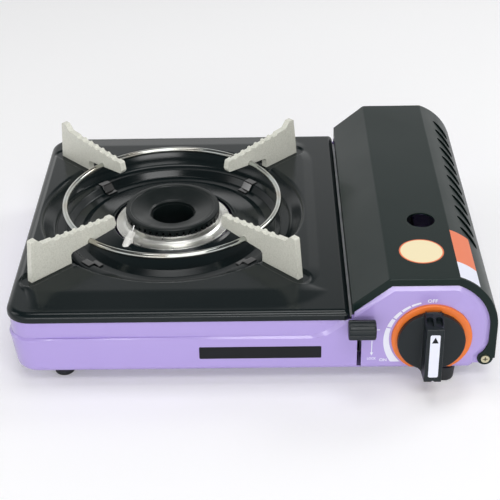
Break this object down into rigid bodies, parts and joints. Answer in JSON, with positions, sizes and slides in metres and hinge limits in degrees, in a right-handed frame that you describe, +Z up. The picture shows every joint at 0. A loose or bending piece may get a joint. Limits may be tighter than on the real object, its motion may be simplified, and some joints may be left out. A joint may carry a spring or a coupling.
{
  "type": "butane cassette stove",
  "caption": "Tabletop butane stove with a round burner in a sunken bowl, a lift-off pan support, a hinged cover over the cartridge bay, a gas knob and a cartridge locking lever.",
  "frame": {"origin": "middle of the footprint, on the table", "axes": "+X to the cartridge side, which is the user's right; +Y to the rear; +Z up"},
  "size_m": [0.3398, 0.29, 0.0925],
  "materials": {
    "lilac_paint": "satin",
    "black_enamel": "gloss",
    "black_paint": "satin",
    "polished_steel": "polished",
    "prong_enamel": "rough",
    "polished_aluminium": "polished",
    "cast_aluminium": "cast",
    "burner_black": "satin",
    "zinc_steel": "galvanised",
    "spring_steel": "bright",
    "screw_nickel": "plated",
    "brass": "turned",
    "black_plastic": "fine grain",
    "orange_plastic": "gloss",
    "foot_plastic": "fine grain",
    "seal_rubber": "matt",
    "lead_rubber": "matt",
    "white_ceramic": "matt"
  },
  "bodies": {
    "stove": {"casing": "lilac_paint", "foot_front_left": "foot_plastic", "foot_front_right": "foot_plastic", "foot_rear_left": "foot_plastic", "foot_rear_right": "foot_plastic", "foot_screws": "zinc_steel", "base_screws": "zinc_steel", "plate_posts": "zinc_steel", "top_plate": "black_enamel", "drip_pan": "black_enamel", "pan_clips": "zinc_steel", "burner_body": "polished_aluminium", "air_tube": "burner_black", "burner_cap": "burner_black", "burner_bracket": "zinc_steel", "mixing_tube": "zinc_steel", "gas_jet": "brass", "gas_pipe": "zinc_steel", "bay_wall": "zinc_steel", "connection_plate": "zinc_steel", "governor_body": "cast_aluminium", "governor_cap": "cast_aluminium", "inlet_seal": "seal_rubber", "governor_bracket": "zinc_steel", "knob_bezel": "orange_plastic", "piezo_igniter": "black_plastic", "electrode_ceramic": "white_ceramic", "electrode_wire": "spring_steel", "electrode_bracket": "zinc_steel", "ignition_lead": "lead_rubber", "lever_pin": "spring_steel", "lever_bracket": "zinc_steel", "carriage_guides": "zinc_steel", "hinge_screws": "screw_nickel", "hinge_nuts": "zinc_steel"},
    "cover": {"cartridge_cover": "black_paint"},
    "knob": {"knob": "black_plastic", "valve_spindle": "brass"},
    "lever": {"lever_arm": "zinc_steel", "lever_grip": "black_plastic", "crank_pin": "spring_steel"},
    "carriage": {"cartridge_carriage": "zinc_steel", "carriage_spring": "spring_steel"},
    "pan_support": {"trivet_ring": "polished_steel", "prong_front_left": "prong_enamel", "prong_front_right": "prong_enamel", "prong_rear_left": "prong_enamel", "prong_rear_right": "prong_enamel"}
  },
  "joints": [
    {"name": "cover_hinge", "type": "hinge", "parent": "stove", "child": "cover", "pos_m": [0.163, 0, 0.021], "axis": [0, 1, 0], "range_deg": [0, 95]},
    {"name": "knob_turn", "type": "hinge", "parent": "stove", "child": "knob", "pos_m": [0.1242, -0.12295, 0.0393], "axis": [0, -1, 0], "range_deg": [0, 120]},
    {"name": "lever_turn", "type": "hinge", "parent": "stove", "child": "lever", "pos_m": [0.07515, -0.09695, 0.03], "axis": [1, 0, 0], "range_deg": [0, 32]},
    {"name": "carriage_slide", "type": "slide", "parent": "stove", "child": "carriage", "axis": [0, -1, 0], "range_m": [0, 0.00717], "stiffness_N_per_m": 20, "springref_m": -0.001, "deforming": ["carriage_spring"]},
    {"name": "pan_lift", "type": "slide", "parent": "stove", "child": "pan_support", "axis": [0, 0, 1], "range_m": [0, 0.06]}
  ],
  "couplings": [
    {"joint": "lever_turn", "follows": "carriage_slide", "rad_per_m": 77.93}
  ]
}
